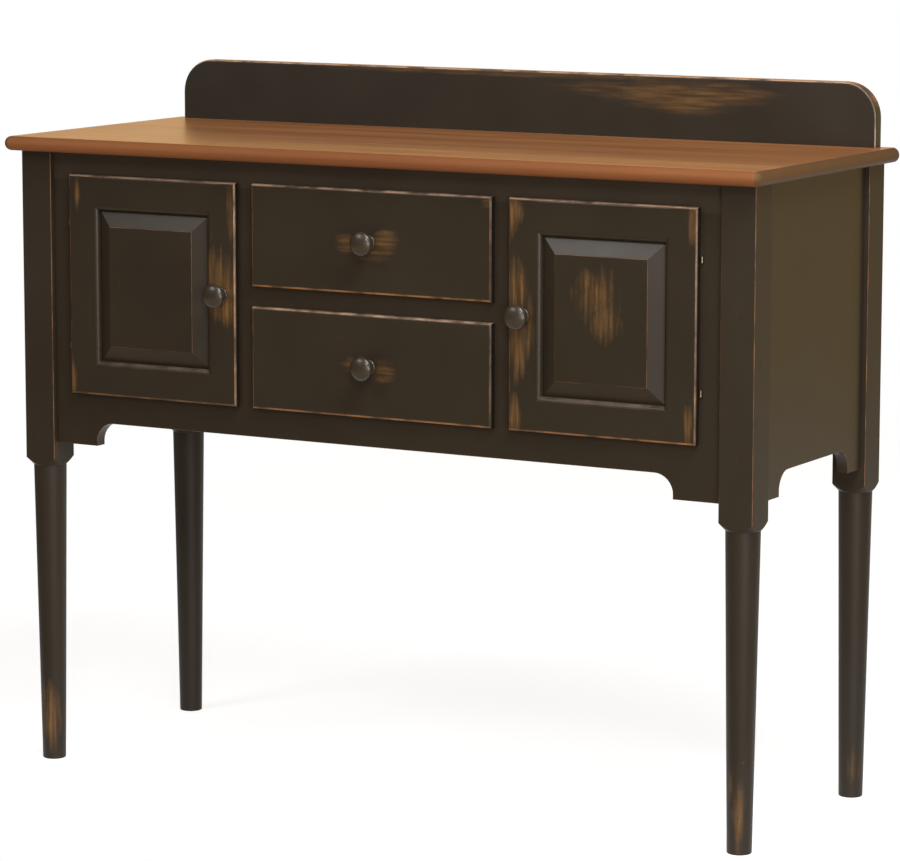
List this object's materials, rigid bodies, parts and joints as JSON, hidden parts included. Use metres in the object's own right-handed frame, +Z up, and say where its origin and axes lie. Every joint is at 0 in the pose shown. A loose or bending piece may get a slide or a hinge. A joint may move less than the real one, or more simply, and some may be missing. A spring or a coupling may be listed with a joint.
{
  "type": "buffet cabinet",
  "caption": "Long painted buffet cabinet on turned legs, with raised-panel doors beside stacked drawers, a shaped apron, a stained bullnose top and a low backsplash.",
  "frame": {"origin": "on the floor, below the middle of the overall box", "axes": "+X to the right seen from the front, +Y from the front to the back, +Z up"},
  "size_m": [1.2192, 0.47, 1.025],
  "materials": {
    "black_paint": "satin black paint on wood, rubbed through at the edges and round the knobs",
    "stained_wood": "stained and lacquered, satin",
    "bare_wood": "planed and unpainted",
    "nickel": "nickel plated",
    "brown_plastic": "moulded, brown"
  },
  "bodies": {
    "case": {"front_left_leg": "black_paint", "front_right_leg": "black_paint", "rear_left_leg": "black_paint", "rear_right_leg": "black_paint", "top_rail": "black_paint", "front_apron": "black_paint", "left_stile": "black_paint", "right_stile": "black_paint", "left_mullion": "black_paint", "right_mullion": "black_paint", "drawer_divider": "black_paint", "left_side_panel": "black_paint", "right_side_panel": "black_paint", "backsplash": "black_paint", "top_board": "stained_wood", "back_panel": "bare_wood", "rear_top_rail": "bare_wood", "rear_bottom_rail": "bare_wood", "case_bottom": "bare_wood", "left_partition": "bare_wood", "right_partition": "bare_wood", "dust_board": "bare_wood", "left_door_catch": "brown_plastic", "left_upper_hinge_frame_leaf": "nickel", "left_upper_hinge_pin": "nickel", "left_lower_hinge_frame_leaf": "nickel", "left_lower_hinge_pin": "nickel", "right_door_catch": "brown_plastic", "right_upper_hinge_frame_leaf": "nickel", "right_upper_hinge_pin": "nickel", "right_lower_hinge_frame_leaf": "nickel", "right_lower_hinge_pin": "nickel"},
    "left_door": {"left_door_hinge_stile": "black_paint", "left_door_lock_stile": "black_paint", "left_door_top_rail": "black_paint", "left_door_bottom_rail": "black_paint", "left_door_panel": "black_paint", "left_door_knob": "black_paint", "left_upper_hinge_door_leaf": "nickel", "left_lower_hinge_door_leaf": "nickel"},
    "right_door": {"right_door_hinge_stile": "black_paint", "right_door_lock_stile": "black_paint", "right_door_top_rail": "black_paint", "right_door_bottom_rail": "black_paint", "right_door_panel": "black_paint", "right_door_knob": "black_paint", "right_upper_hinge_door_leaf": "nickel", "right_lower_hinge_door_leaf": "nickel"},
    "upper_drawer": {"upper_drawer_front": "black_paint", "upper_drawer_knob": "black_paint", "upper_drawer_left_side": "bare_wood", "upper_drawer_right_side": "bare_wood", "upper_drawer_back": "bare_wood", "upper_drawer_bottom": "bare_wood"},
    "lower_drawer": {"lower_drawer_front": "black_paint", "lower_drawer_knob": "black_paint", "lower_drawer_left_side": "bare_wood", "lower_drawer_right_side": "bare_wood", "lower_drawer_back": "bare_wood", "lower_drawer_bottom": "bare_wood"}
  },
  "joints": [
    {"name": "left_door_hinge", "type": "hinge", "parent": "case", "child": "left_door", "pos_m": [-0.5119, -0.19635, 0.71965], "axis": [0, 0, -1], "range_deg": [0, 130]},
    {"name": "right_door_hinge", "type": "hinge", "parent": "case", "child": "right_door", "pos_m": [0.5119, -0.19635, 0.71965], "axis": [0, 0, 1], "range_deg": [0, 130]},
    {"name": "upper_drawer_slide", "type": "slide", "parent": "case", "child": "upper_drawer", "axis": [0, -1, 0], "range_m": [0, 0.28]},
    {"name": "lower_drawer_slide", "type": "slide", "parent": "case", "child": "lower_drawer", "axis": [0, -1, 0], "range_m": [0, 0.28]}
  ]
}
